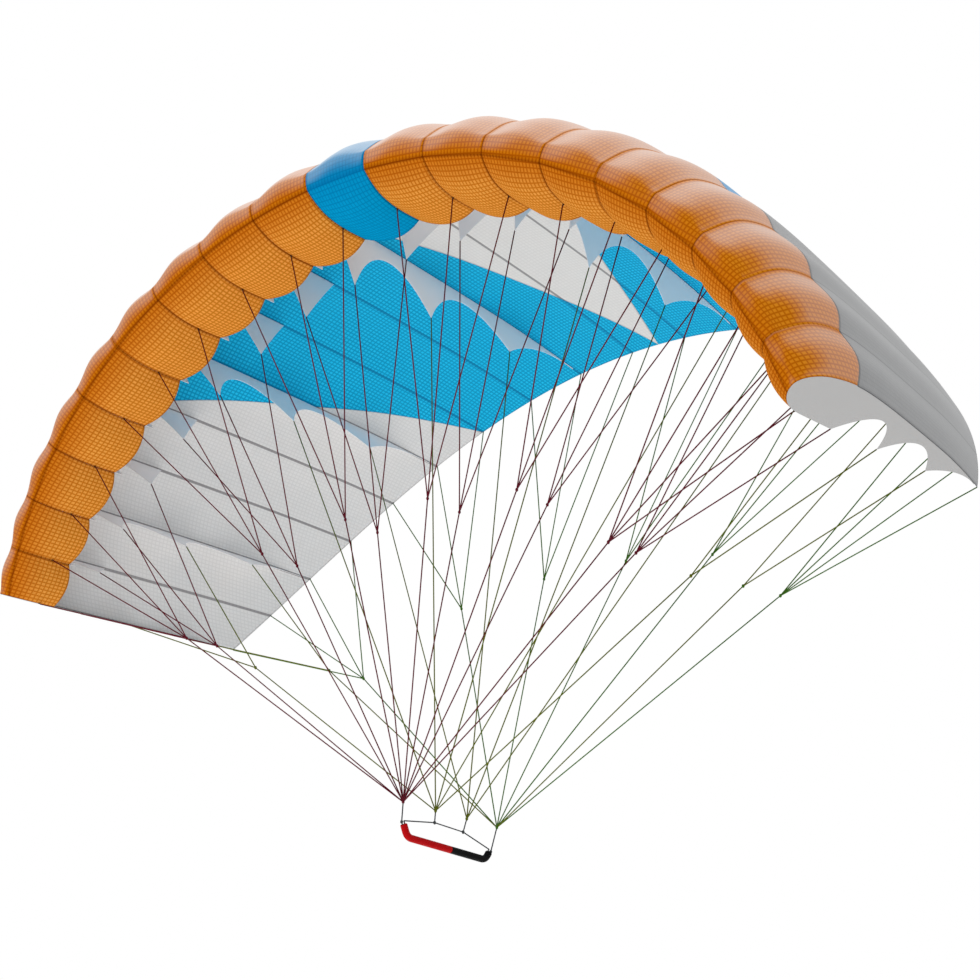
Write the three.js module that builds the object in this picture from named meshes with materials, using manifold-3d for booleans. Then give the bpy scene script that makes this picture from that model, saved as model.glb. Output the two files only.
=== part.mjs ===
// Parawing: a single-skin wing of 19 cells with its bridle and bar, in the shape it has in flight.
// Millimetres. X runs along the span, Y from the nose back to the trailing edge, Z up.
// The origin is the middle of the bar's grip, where the rider holds the wing.

import * as THREE from 'three';
import { mergeVertices } from 'three/addons/utils/BufferGeometryUtils.js';
import Module from 'manifold-3d';

const wasm = await Module();
wasm.setup();

// Driving dimensions of the canopy
const CELLS = 19;
const CELL_WIDTH = 214;              // centre cell, from rib to rib along the cloth
const TIP_NARROWING = 0.332;         // share of that width that the outermost cell has lost
const ROOT_CHORD = 1569;
const CHORD_LOSS = { square: 0.2, fourth: 0.191 };
const NOSE_SWEEP = { square: 16, fourth: 37 };
const ARCH = { linear: 1.111, cubic: 0.122 };   // cant of the ribs in radians, over the half span
const TIP_TWIST = -0.0148;
const BILLOW = { lower: 0.11, nose: 0.026, crown: 0.072 };   // rise of the cloth between ribs, over the cell's width
const BILLOW_FADE = 0.8;             // power with which the billow dies out towards the trailing edge
const SEAM_REACH = 0.026;            // the nose seam holds the lower billow down this far, in outline lengths
const CENTRE_HEIGHT = 0.927;         // height of the top at the centre, over its height at the tip rib
const NOSE_CUT = { depth: 0.027, peak: 0.039, reach: 0.062 };   // inner ribs have a flatter nose than the tip ribs
const TOP_BLEND = 0.7;               // share of the way from nose seam to crown at which the top has its full height
const CUT_FADE = 35;                 // power with which that flattening dies out towards the tip

// Driving dimensions of the cloth and lines
const CLOTH = 1.2;
const GAP = 0.3;
const RIB_INSET = 1.6;               // ribs run this far under the outer face of the top skin
const LINE_RADIUS = 1.5;
const LINE_SIDES = 4;
const LOOP_RADIUS = 0.5;             // a line narrows to this at the loop that ties it to the cloth
const LOOP_TAPER = 4;
const LOOP_GAP = 0.5;
const KNOT_RADIUS = 5;
const A_LOOP = { width: 7, length: 9 };

// Bar: grip tube in the plane X = 0
const BAR_RADIUS = 10;
const BAR_SIDES = 12;
const BAR_STEPS = 12;
const BAR_BEND = 17;                 // length of straight that each rounded bend takes up
const LINE_SHIFT = 5;                // the bar line leaves a tip of the bar this far off its axis
const PIGTAIL_SHIFT = { front: -5, rear: 5 };
const LINE_STUB = 8;                 // lines stand this far out of a tip before they turn

// Where the bar hangs under the nose of the centre cell
const BAR_BACK = 489;
const BAR_DROP = 1798;

// Rib outline from the lower lip round the nose to the trailing edge
// Columns: back from the nose, up from the chord line, both in chords
const AIRFOIL = [
  [0.205, -0.0165],
  [0.150, -0.0155],
  [0.095, -0.0125],
  [0.050, -0.0020],
  [0.018, 0.0160],
  [-0.004, 0.0370],
  [-0.017, 0.0620],
  [-0.014, 0.0840],
  [0.004, 0.1045],
  [0.038, 0.1225],
  [0.085, 0.1335],
  [0.145, 0.1395],
  [0.215, 0.1375],
  [0.320, 0.1260],
  [0.450, 0.1070],
  [0.600, 0.0830],
  [0.750, 0.0575],
  [0.880, 0.0300],
  [1.000, 0.0000],
];

// Places along the chord, in chords
const LIP = { back: 0.154, bulge: 0.012 };       // free lower edge of a leading-edge panel
const NOSE_SEAM = 0.0;                           // lower to upper leading-edge panel
const CROWN = { back: 0.163, bulge: 0.024 };     // leading-edge panel to top skin
const A_BACK = 0.094;
const A_HEEL = [0.1795, -0.0145];                // end of a rib's foot behind the lip
const TABS = {
  B: [0.270, -0.0190],
  C: [0.4965, -0.0205],
  D: [0.748, -0.0215],
};
// Control points of the arches between the tabs of a full rib, and of the back of a short rib
const ARCH_AB = [[0.205, 0.130], [0.241, 0.130]];   // on every rib but the two at the tips
const ARCH_BC = [[0.338, 0.104], [0.424, 0.104]];
const ARCH_CD = [[0.555, 0.077], [0.6435, 0.077]];
const ARCH_DE = [[0.800, 0.012], [0.880, 0.030]];
const RIB_END = [0.972, 0.0035];
const SHORT_BACK = [0.322, 0.040];
const SHORT_END = 0.392;
const FULL_RIBS = [0, 2, 5, 8, 11, 14, 17, 19];

// Colour blocks of the top skin: each border runs straight in the flat from its front to its back
// Columns: distance from the centre line at the crown seam and at the trailing edge, in centre cells
const INNER_BORDER = { front: 1.75, rear: 0 };
const OUTER_BORDER = { front: 5.5, rear: 3.443 };

// Lines of one half, mirrored for the other
// Columns: outward, back, up from the nose of the centre cell, in centre cells
const CASCADE = {
  A: [[3.63, 0.96, -5.26], [2.22, 0.99, -4.31], [0.72, 1.03, -4.11]],
  B: [[3.62, 1.53, -5.27], [2.19, 1.64, -4.35], [0.72, 1.66, -4.15]],
  E: [[3.69, 4.63, -5.21], [2.26, 5.22, -4.26], [0.74, 5.29, -4.06]],
};
const TIP_CASCADE = { C: [3.78, 2.45, -5.40], D: [3.64, 3.83, -5.23] };
const RIB_GROUPS = [[0, 1, 2, 3], [4, 5, 6], [7, 8, 9]];
const TIP_PAIR = [0, 2];
const STRAIGHT_RIBS = [5, 8];

// Points in the plane X = 0, from the nose of the centre cell
// Columns: back, up
const FRONT_KNOT = [295, -1690];
const C_KNOT = [429, -1698];
const D_KNOT = [562, -1704];
const REAR_KNOT = [694, -1713];
const C_LEADER = [425, -1731];
const D_LEADER = [546, -1743];
const BAR_PATH = {
  front: { tip: [297, -1750], bend: [312, -1784] },
  split: [489, -1798],
  rear: { tip: [657, -1788], bend: [640, -1810] },
};

// Grid of the cloth: steps across a cell, and rows as shares of the way along each stretch
const ACROSS = 6;
const LOWER_ROWS = [0, 0.35, 0.65, 0.88];
const UPPER_ROWS = [0, 0.12, 0.28, 0.48, 0.72, 1];
const TOP_ROWS = [0, 0.14, 0.3, 0.48, 0.66, 0.83, 1];
const ARC_STEPS = 60;
const OUTLINE_STEPS = 600;
const HALVINGS = 45;
const WELD = 1e-4;
const BEZIER_STEPS = 6;
const BORDER_TIP = 2;                // a pointed colour block stops this far short of its point

const COLOURS = { orange: 0xd7822d, blue: 0x199bd7, pale: 0xcdcccb, tip: 0xb4b6b8, rib: 0xb9bdc6, red: 0xc80a0f,
  black: 0x141414, darkRed: 0x6e192d, olive: 0x828732, green: 0x3c823c, grey: 0x5a5f5f };

function between(from, to, share) {
  return from + (to - from) * share;
}

// Plan of the span: places of the ribs along the cloth, negative on the left

const halfRibs = [CELL_WIDTH / 2];
for (let k = 1; k <= (CELLS - 1) / 2; k++) {
  const width = CELL_WIDTH * (1 - TIP_NARROWING * (2 * k / (CELLS - 1)) ** 2);
  halfRibs.push(halfRibs[k - 1] + width);
}
const RIBS = [...halfRibs.map((s) => -s).reverse(), ...halfRibs];
const HALF_SPAN = halfRibs[halfRibs.length - 1];

function cant(length) {
  const u = length / HALF_SPAN;
  return ARCH.linear * u + ARCH.cubic * u ** 3;
}

// Chord line at a place along the span, found by summing the arch from the centre out
function makeStation(s) {
  const side = s < 0 ? -1 : 1;
  const length = Math.abs(s);
  const step = length / ARC_STEPS;
  const nose = new THREE.Vector3();
  for (let k = 0; k < ARC_STEPS; k++) {
    const angle = cant((k + 0.5) * step);
    nose.x += side * Math.cos(angle) * step;
    nose.z -= Math.sin(angle) * step;
  }
  const u = length / HALF_SPAN;
  nose.y = NOSE_SWEEP.square * u ** 2 + NOSE_SWEEP.fourth * u ** 4;
  const chord = ROOT_CHORD * (1 - CHORD_LOSS.square * u ** 2 - CHORD_LOSS.fourth * u ** 4);
  const twist = TIP_TWIST * u ** 2;
  const upright = new THREE.Vector3(side * Math.sin(cant(length)), 0, Math.cos(cant(length)));
  const rear = new THREE.Vector3(0, 1, 0);
  const back = rear.clone().multiplyScalar(Math.cos(twist)).addScaledVector(upright, -Math.sin(twist));
  const up = upright.clone().multiplyScalar(Math.cos(twist)).addScaledVector(rear, Math.sin(twist));
  return { nose, chord, back, up };
}

const stations = new Map();
function station(s) {
  if (!stations.has(s)) stations.set(s, makeStation(s));
  return stations.get(s);
}

function place(s, back, up) {
  const { nose, back: backAxis, up: upAxis } = station(s);
  return nose.clone().addScaledVector(backAxis, back).addScaledVector(upAxis, up);
}

// Section of the skin: a place along it is its share of the outline's length

const outline = new THREE.SplineCurve(AIRFOIL.map(([back, up]) => new THREE.Vector2(back, up)));
outline.arcLengthDivisions = OUTLINE_STEPS;
const outlineLength = outline.getLength();

function noseShare() {
  let best = 0;
  for (let k = 0; k <= OUTLINE_STEPS; k++) {
    const share = k / OUTLINE_STEPS;
    if (outline.getPointAt(share).x < outline.getPointAt(best).x) best = share;
  }
  return best;
}
const NOSE = noseShare();

// Share at which the outline is a given way back, on its lower or upper side
function shareAt(back, upper) {
  let near = NOSE;
  let far = upper ? 1 : 0;
  for (let k = 0; k < HALVINGS; k++) {
    const middle = (near + far) / 2;
    if (outline.getPointAt(middle).x < back) near = middle;
    else far = middle;
  }
  return (near + far) / 2;
}
const SEAM = shareAt(NOSE_SEAM, false);
const CROWN_START = shareAt(CROWN.back, true);
const TOP_START = between(SEAM, CROWN_START, TOP_BLEND);

function cellAt(s) {
  let cell = 0;
  while (cell < CELLS - 1 && RIBS[cell + 1] <= s) cell++;
  const width = RIBS[cell + 1] - RIBS[cell];
  const across = THREE.MathUtils.clamp((s - RIBS[cell]) / width, 0, 1);
  return { width, rise: 4 * across * (1 - across) };
}

function lipShare(s) {
  return shareAt(LIP.back + LIP.bulge * cellAt(s).rise, false);
}

function crownShare(s) {
  return shareAt(CROWN.back + CROWN.bulge * cellAt(s).rise, true);
}

// How far the nose of an inner rib lies inside the outline, in chords
function noseCut(u, share) {
  const past = share - SEAM;
  const bump = past < NOSE_CUT.peak ? THREE.MathUtils.smoothstep(past, 0, NOSE_CUT.peak)
    : Math.exp(-(((past - NOSE_CUT.peak) / NOSE_CUT.reach) ** 2));
  return NOSE_CUT.depth * (1 - Math.min(u, 1) ** CUT_FADE) * bump;
}

// Point of a rib's section in its own plane, raised off the section by a lift
function section(s, share, lift) {
  const { chord } = station(s);
  const u = Math.abs(s) / HALF_SPAN;
  const point = outline.getPointAt(share);
  const along = outline.getTangentAt(share);
  const top = THREE.MathUtils.smoothstep(share, SEAM, TOP_START);
  const height = 1 + (CENTRE_HEIGHT - 1) * (1 - u ** 2) * top;
  const off = lift - noseCut(u, share) * chord;
  return [point.x * chord - along.y * off, point.y * height * chord + along.x * off];
}

// Rise of the cloth between two ribs, over the cell's width
function billowAt(share) {
  if (share < SEAM) {
    return between(BILLOW.lower, BILLOW.nose, Math.exp(-(((share - SEAM) / SEAM_REACH) ** 2)));
  }
  const back = THREE.MathUtils.clamp(outline.getPointAt(share).x, 0, 1);
  const fade = (1 - back) ** BILLOW_FADE;
  return fade * between(BILLOW.nose, BILLOW.crown, THREE.MathUtils.smoothstep(share, SEAM, SEAM + NOSE_CUT.peak));
}

// Outer face of the cloth
function skinPoint(s, share) {
  const { width, rise } = cellAt(s);
  return place(s, ...section(s, share, billowAt(share) * width * rise));
}

// Closed sheet from a grid of points on its outer face, columns along X and rows from front to back

function sheet(grid) {
  const columns = grid.length;
  const rows = grid[0].length;
  const pick = (i, j) => grid[THREE.MathUtils.clamp(i, 0, columns - 1)][THREE.MathUtils.clamp(j, 0, rows - 1)];
  const inner = grid.map((column, i) => column.map((point, j) => {
    const sideways = pick(i + 1, j).clone().sub(pick(i - 1, j));
    const along = pick(i, j + 1).clone().sub(pick(i, j - 1));
    return point.clone().addScaledVector(sideways.cross(along).normalize(), -CLOTH);
  }));
  const positions = [...grid.flat(), ...inner.flat()].flatMap((point) => point.toArray());
  const out = (i, j) => i * rows + j;
  const into = (i, j) => columns * rows + out(i, j);
  const faces = [];
  const quad = (a, b, c, d) => faces.push(a, b, c, a, c, d);
  for (let i = 0; i < columns - 1; i++) {
    for (let j = 0; j < rows - 1; j++) {
      quad(out(i, j), out(i + 1, j), out(i + 1, j + 1), out(i, j + 1));
      quad(into(i, j), into(i, j + 1), into(i + 1, j + 1), into(i + 1, j));
    }
    quad(out(i, 0), into(i, 0), into(i + 1, 0), out(i + 1, 0));
    quad(out(i, rows - 1), out(i + 1, rows - 1), into(i + 1, rows - 1), into(i, rows - 1));
  }
  for (let j = 0; j < rows - 1; j++) {
    quad(out(0, j), out(0, j + 1), into(0, j + 1), into(0, j));
    quad(out(columns - 1, j), into(columns - 1, j), into(columns - 1, j + 1), out(columns - 1, j + 1));
  }
  const geometry = new THREE.BufferGeometry();
  geometry.setAttribute('position', new THREE.Float32BufferAttribute(positions, 3));
  geometry.setIndex(faces);
  geometry.computeVertexNormals();
  return geometry;
}

// Leading-edge panel of one cell, from its free lower lip round the nose to the crown seam
function leadingEdge(cell) {
  const edge = CLOTH / 2 + GAP;
  const grid = [];
  for (let k = 0; k <= ACROSS; k++) {
    const s = between(RIBS[cell] + edge, RIBS[cell + 1] - edge, k / ACROSS);
    const end = crownShare(s) - GAP / (station(s).chord * outlineLength);
    const lower = LOWER_ROWS.map((share) => between(lipShare(s), SEAM, share));
    const upper = UPPER_ROWS.map((share) => between(SEAM, end, share));
    grid.push([...lower, ...upper].map((share) => skinPoint(s, share)));
  }
  return sheet(grid);
}

// Colour borders: the way back, in chords, at which a border crosses a place along the span
function borderBack(s, border) {
  const front = border.front * CELL_WIDTH;
  const rear = border.rear * CELL_WIDTH;
  const share = (Math.abs(s) - rear) / (front - rear);
  return between(1, CROWN.back, share);
}

// Front and back edge of each block as ways back in chords: the crown seam, a border or the trailing edge
function crownBack(s) {
  return CROWN.back + CROWN.bulge * cellAt(s).rise;
}
const BLOCKS = {
  tip: {
    from: (s) => Math.max(crownBack(s), borderBack(s, OUTER_BORDER)),
    to: () => 1,
  },
  blue: {
    from: (s) => Math.max(crownBack(s), borderBack(s, INNER_BORDER)),
    to: (s) => Math.min(1, borderBack(s, OUTER_BORDER)),
  },
  centre: {
    from: crownBack,
    to: (s) => Math.min(1, borderBack(s, INNER_BORDER)),
  },
};

// Place along the half span at which a border meets the crown seam
function borderStart(border) {
  let inside = border.rear * CELL_WIDTH;
  let outside = HALF_SPAN;
  for (let k = 0; k < HALVINGS; k++) {
    const middle = (inside + outside) / 2;
    if (borderBack(middle, border) > crownBack(middle)) inside = middle;
    else outside = middle;
  }
  return inside;
}
const INNER_START = borderStart(INNER_BORDER);
const OUTER_START = borderStart(OUTER_BORDER);

// Rows of a block at one place along the span, as shares of the outline
function blockRows(block, s) {
  const length = station(s).chord * outlineLength;
  const seam = 2 * GAP / length;
  const start = shareAt(block.from(s), true) + seam;
  const back = block.to(s);
  const end = back < 1 ? shareAt(back, true) - seam : 1;
  return TOP_ROWS.map((share) => between(start, end, share));
}

// Columns of the cloth grid between two places along the span, with any extra places that a border needs
function columnsBetween(low, high) {
  const places = [low, high];
  for (let cell = 0; cell < CELLS; cell++) {
    for (let k = 0; k < ACROSS; k++) places.push(between(RIBS[cell], RIBS[cell + 1], k / ACROSS));
  }
  for (const start of [INNER_START, OUTER_START]) places.push(-start, start);
  const sorted = places.filter((s) => s >= low && s <= high).sort((a, b) => a - b);
  return sorted.filter((s, k) => s === high || (sorted[k + 1] - s > BORDER_TIP || s === low) && high - s > BORDER_TIP);
}

function skinBlock(block, low, high) {
  return sheet(columnsBetween(low, high).map((s) => blockRows(block, s).map((share) => skinPoint(s, share))));
}

// Ribs: flat cloth in a canted plane, its edge in the seams of the leading edge and under the top skin

function blocksAt(s) {
  const length = Math.abs(s);
  const inBlock = { tip: length > OUTER_BORDER.rear * CELL_WIDTH, blue: length < OUTER_START,
    centre: length < INNER_START };
  return ['centre', 'blue', 'tip'].filter((name) => inBlock[name]).map((name) => BLOCKS[name]);
}

function ribShape(index) {
  const s = RIBS[index];
  const { chord } = station(s);
  const full = FULL_RIBS.includes(index);
  const at = ([back, up]) => [back * chord, up * chord];
  const onSkin = (share, depth) => section(s, share, -depth);
  const shape = new THREE.Shape();
  shape.moveTo(...at(TABS.B));
  const lip = lipShare(s);
  const loop = shareAt(A_BACK, false);
  const loopHalf = A_LOOP.width / 2 / (chord * outlineLength);
  if (index > 0 && index < RIBS.length - 1) {
    shape.bezierCurveTo(...at(ARCH_AB[1]), ...at(ARCH_AB[0]), ...at(A_HEEL));
  }
  shape.lineTo(...onSkin(lip, 0));
  shape.lineTo(...onSkin(loop - loopHalf, 0));
  shape.lineTo(...onSkin(loop - loopHalf / 2, -A_LOOP.length));
  shape.lineTo(...onSkin(loop + loopHalf / 2, -A_LOOP.length));
  shape.lineTo(...onSkin(loop + loopHalf, 0));
  const crown = crownShare(s) - GAP / (chord * outlineLength);
  for (const share of LOWER_ROWS.slice(1)) {
    const place = between(lip, SEAM, share);
    if (place > loop + loopHalf) shape.lineTo(...onSkin(place, 0));
  }
  for (const share of UPPER_ROWS) shape.lineTo(...onSkin(between(SEAM, crown, share), 0));
  const rearmost = full ? shareAt(RIB_END[0], true) : shareAt(SHORT_END, true);
  shape.lineTo(...onSkin(crown, RIB_INSET));
  const rows = blocksAt(s).flatMap((block) => blockRows(block, s)).sort((a, b) => a - b);
  for (const share of rows.filter((row) => row < rearmost)) shape.lineTo(...onSkin(share, RIB_INSET));
  const next = rows.find((row) => row >= rearmost);
  const last = rows.filter((row) => row < rearmost).pop();
  const [fromX, fromY] = onSkin(last, RIB_INSET);
  const [toX, toY] = onSkin(next, RIB_INSET);
  const part = (rearmost - last) / (next - last);
  shape.lineTo(between(fromX, toX, part), between(fromY, toY, part));
  if (full) {
    shape.lineTo(...at(RIB_END));
    shape.bezierCurveTo(...at(ARCH_DE[1]), ...at(ARCH_DE[0]), ...at(TABS.D));
    shape.bezierCurveTo(...at(ARCH_CD[1]), ...at(ARCH_CD[0]), ...at(TABS.C));
    shape.bezierCurveTo(...at(ARCH_BC[1]), ...at(ARCH_BC[0]), ...at(TABS.B));
  } else {
    shape.quadraticCurveTo(...at(SHORT_BACK), ...at(TABS.B));
  }
  return shape;
}

function ribMesh(index, material) {
  const geometry = new THREE.ExtrudeGeometry(ribShape(index), { depth: CLOTH, bevelEnabled: false,
    curveSegments: BEZIER_STEPS });
  geometry.translate(0, 0, -CLOTH / 2);
  const { nose, back, up } = station(RIBS[index]);
  const mesh = new THREE.Mesh(geometry, material);
  const axes = new THREE.Matrix4().makeBasis(back, up, back.clone().cross(up));
  mesh.quaternion.setFromRotationMatrix(axes);
  mesh.position.copy(nose);
  return mesh;
}

// Lines: straight rods joined at round knots

function toSolid(geometry) {
  geometry.deleteAttribute('normal');
  geometry.deleteAttribute('uv');
  const merged = mergeVertices(geometry, WELD);
  return new wasm.Manifold(new wasm.Mesh({ numProp: 3, vertProperties: new Float32Array(merged.attributes.position.array),
    triVerts: new Uint32Array(merged.index.array) }));
}

function fromSolid(solid) {
  const { vertProperties, triVerts } = solid.getMesh();
  const geometry = new THREE.BufferGeometry();
  geometry.setAttribute('position', new THREE.BufferAttribute(vertProperties, 3));
  geometry.setIndex(new THREE.BufferAttribute(triVerts, 1));
  geometry.computeVertexNormals();
  return geometry;
}

// Geometry made along +Y, turned to lie along a span and moved to its place
function aimed(geometry, span, middle) {
  geometry.applyQuaternion(new THREE.Quaternion().setFromUnitVectors(new THREE.Vector3(0, 1, 0),
    span.clone().normalize()));
  return geometry.translate(middle.x, middle.y, middle.z);
}

function rod(from, to) {
  const span = to.clone().sub(from);
  const geometry = new THREE.CylinderGeometry(LINE_RADIUS, LINE_RADIUS, span.length(), LINE_SIDES);
  return toSolid(aimed(geometry, span, from.clone().add(to).multiplyScalar(0.5)));
}

// Line from a point of the cloth, where it narrows into its loop, down to a knot
function hungLine(from, to) {
  const span = to.clone().sub(from);
  const profile = [[0, 0], [LOOP_RADIUS, 0], [LINE_RADIUS, LOOP_TAPER], [LINE_RADIUS, span.length()], [0, span.length()]];
  const geometry = new THREE.LatheGeometry(profile.map(([x, y]) => new THREE.Vector2(x, y)), LINE_SIDES);
  return toSolid(aimed(geometry, span, from));
}

// Knot with a corner that points at the line under it
function knot(point, under = new THREE.Vector3(0, 0, -1).add(point)) {
  return toSolid(aimed(new THREE.OctahedronGeometry(KNOT_RADIUS), under.clone().sub(point), point));
}

function joined(solids) {
  return fromSolid(wasm.Manifold.union(solids));
}

// Upper end of a line under a point of the cloth, clear of it by a seam's gap
function hungFrom(point, towards, clear) {
  return point.clone().addScaledVector(towards.clone().sub(point).normalize(), clear);
}

function ribOf(index, side) {
  return side < 0 ? index : RIBS.length - 1 - index;
}

function tabPoint(index, tab) {
  const { chord } = station(RIBS[index]);
  return place(RIBS[index], TABS[tab][0] * chord, TABS[tab][1] * chord);
}

function loopPoint(index) {
  const s = RIBS[index];
  return place(s, ...section(s, shareAt(A_BACK, false), A_LOOP.length));
}

function trailingPoint(index) {
  const { chord, up } = station(RIBS[index]);
  return place(RIBS[index], chord, 0).addScaledVector(up, -CLOTH);
}

const ATTACH = {
  A: loopPoint,
  B: (index) => tabPoint(index, 'B'),
  C: (index) => tabPoint(index, 'C'),
  D: (index) => tabPoint(index, 'D'),
  E: trailingPoint,
};

function upperLine(row, index, node) {
  return hungLine(hungFrom(ATTACH[row](index), node, LOOP_GAP), node);
}

function cascadeNode([outward, back, up], side) {
  return new THREE.Vector3(side * outward, back, up).multiplyScalar(CELL_WIDTH);
}

function centrePoint([back, up]) {
  return new THREE.Vector3(0, back, up);
}

// One row of lines in three cascades a side, all led to one knot
function cascadeRow(row, target) {
  const solids = [];
  for (const side of [-1, 1]) {
    RIB_GROUPS.forEach((group, k) => {
      const node = cascadeNode(CASCADE[row][k], side);
      solids.push(knot(node), rod(node, target));
      for (const index of group) solids.push(upperLine(row, ribOf(index, side), node));
    });
  }
  return solids;
}

// Lines of the two outer full ribs of each side, joined in one and led to a knot
function tipCascade(row, target) {
  const solids = [];
  for (const side of [-1, 1]) {
    const node = cascadeNode(TIP_CASCADE[row], side);
    solids.push(knot(node), rod(node, target));
    for (const index of TIP_PAIR) solids.push(upperLine(row, ribOf(index, side), node));
  }
  return solids;
}

function straightLines(row, target) {
  return [-1, 1].flatMap((side) => STRAIGHT_RIBS.map((index) => upperLine(row, ribOf(index, side), target)));
}

function bridles() {
  const front = centrePoint(FRONT_KNOT);
  const cKnot = centrePoint(C_KNOT);
  const dKnot = centrePoint(D_KNOT);
  const rear = centrePoint(REAR_KNOT);
  return {
    bridle_front: joined([knot(front, pigtailTurn('front')), ...cascadeRow('A', front), ...cascadeRow('B', front)]),
    bridle_c: joined([knot(cKnot, centrePoint(C_LEADER)), ...tipCascade('C', cKnot), ...straightLines('C', cKnot)]),
    bridle_d: joined([knot(dKnot, centrePoint(D_LEADER)), ...straightLines('D', dKnot)]),
    bridle_rear: joined([knot(rear, pigtailTurn('rear')), ...cascadeRow('E', rear), ...tipCascade('D', rear)]),
  };
}

// Bar: a bent grip tube in two halves

function barHalf(end) {
  const split = centrePoint(BAR_PATH.split);
  const corner = centrePoint(BAR_PATH[end].bend);
  const tip = centrePoint(BAR_PATH[end].tip);
  const grip = split.clone().sub(corner).normalize();
  const riser = tip.clone().sub(corner).normalize();
  const start = split.clone().addScaledVector(grip, -GAP / 2);
  const bendIn = corner.clone().addScaledVector(grip, BAR_BEND);
  const bendOut = corner.clone().addScaledVector(riser, BAR_BEND);
  const path = new THREE.CurvePath();
  path.add(new THREE.LineCurve3(start, bendIn));
  path.add(new THREE.QuadraticBezierCurve3(bendIn, corner, bendOut));
  path.add(new THREE.LineCurve3(bendOut, tip));
  const section = new THREE.Shape().absarc(0, 0, BAR_RADIUS, 0, 2 * Math.PI);
  const points = section.getSpacedPoints(BAR_SIDES).slice(0, BAR_SIDES);
  return new THREE.ExtrudeGeometry(new THREE.Shape(points), { steps: BAR_STEPS, bevelEnabled: false,
    extrudePath: path });
}

// Place off the axis of a tip of the bar, towards the back, where a line comes out square to the tip
function tipExit(end, shift, reach) {
  const tip = centrePoint(BAR_PATH[end].tip);
  const outward = tip.clone().sub(centrePoint(BAR_PATH[end].bend)).normalize();
  const across = new THREE.Vector3(0, outward.z, -outward.y);
  return tip.clone().addScaledVector(outward, reach).addScaledVector(across, shift);
}

// Line from the front tip of the bar to its rear tip, with a short leader up to the C and D knots
function barLine() {
  const frontSeat = tipExit('front', LINE_SHIFT, GAP);
  const frontTurn = tipExit('front', LINE_SHIFT, LINE_STUB);
  const rearSeat = tipExit('rear', -LINE_SHIFT, GAP);
  const rearTurn = tipExit('rear', -LINE_SHIFT, LINE_STUB);
  const cBase = centrePoint(C_LEADER);
  const dBase = centrePoint(D_LEADER);
  const under = KNOT_RADIUS + GAP;
  const cTop = hungFrom(centrePoint(C_KNOT), cBase, under);
  const dTop = hungFrom(centrePoint(D_KNOT), dBase, under);
  return joined([rod(frontSeat, frontTurn), rod(frontTurn, cBase), rod(cBase, dBase), rod(dBase, rearTurn),
    rod(rearTurn, rearSeat), knot(cBase), knot(dBase), rod(cBase, cTop), rod(dBase, dTop)]);
}

// Single line from a tip of the bar up to a bridle's knot
function pigtailTurn(end) {
  return tipExit(end, PIGTAIL_SHIFT[end], LINE_STUB);
}

function pigtail(end, knotAt) {
  const turn = pigtailTurn(end);
  const top = hungFrom(centrePoint(knotAt), turn, KNOT_RADIUS + GAP);
  return joined([rod(tipExit(end, PIGTAIL_SHIFT[end], GAP), turn), rod(turn, top)]);
}

// Assembly

function finish(colour, roughness) {
  return new THREE.MeshStandardMaterial({ color: COLOURS[colour], roughness, metalness: 0 });
}

function named(name, geometry, colour, roughness) {
  const mesh = new THREE.Mesh(geometry, finish(colour, roughness));
  mesh.name = name;
  return mesh;
}

const CLOTH_ROUGH = 0.55;
const LINE_ROUGH = 0.7;
const GRIP_ROUGH = 0.6;
const twoDigits = (index) => String(index).padStart(2, '0');

const wing = new THREE.Group();
wing.position.set(0, -BAR_BACK, BAR_DROP);

for (let cell = 0; cell < CELLS; cell++) {
  const colour = cell === (CELLS - 1) / 2 ? 'blue' : 'orange';
  wing.add(named(`leading_edge_${twoDigits(cell)}`, leadingEdge(cell), colour, CLOTH_ROUGH));
}

for (let index = 0; index < RIBS.length; index++) {
  const mesh = ribMesh(index, finish('rib', CLOTH_ROUGH));
  mesh.name = `rib_${twoDigits(index)}`;
  wing.add(mesh);
}

const tipEdge = HALF_SPAN + CLOTH / 2;
const tipInner = OUTER_BORDER.rear * CELL_WIDTH + BORDER_TIP;
const blueOuter = OUTER_START - BORDER_TIP;
const centreOuter = INNER_START - BORDER_TIP;
wing.add(named('skin_tip_left', skinBlock(BLOCKS.tip, -tipEdge, -tipInner), 'tip', CLOTH_ROUGH));
wing.add(named('skin_blue_left', skinBlock(BLOCKS.blue, -blueOuter, -BORDER_TIP), 'blue', CLOTH_ROUGH));
wing.add(named('skin_centre', skinBlock(BLOCKS.centre, -centreOuter, centreOuter), 'pale', CLOTH_ROUGH));
wing.add(named('skin_blue_right', skinBlock(BLOCKS.blue, BORDER_TIP, blueOuter), 'blue', CLOTH_ROUGH));
wing.add(named('skin_tip_right', skinBlock(BLOCKS.tip, tipInner, tipEdge), 'tip', CLOTH_ROUGH));

const LINE_COLOURS = { bridle_front: 'darkRed', bridle_c: 'olive', bridle_d: 'olive', bridle_rear: 'green' };
for (const [name, geometry] of Object.entries(bridles())) {
  wing.add(named(name, geometry, LINE_COLOURS[name], LINE_ROUGH));
}

wing.add(named('bar_front', barHalf('front'), 'red', GRIP_ROUGH));
wing.add(named('bar_rear', barHalf('rear'), 'black', GRIP_ROUGH));
wing.add(named('bar_line', barLine(), 'grey', LINE_ROUGH));
wing.add(named('front_pigtail', pigtail('front', FRONT_KNOT), 'grey', LINE_ROUGH));
wing.add(named('rear_pigtail', pigtail('rear', REAR_KNOT), 'grey', LINE_ROUGH));

const parawing = new THREE.Group();
parawing.add(wing);

export default parawing;
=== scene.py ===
import math

import bmesh
import bpy
import numpy as np
from mathutils import Matrix


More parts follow.
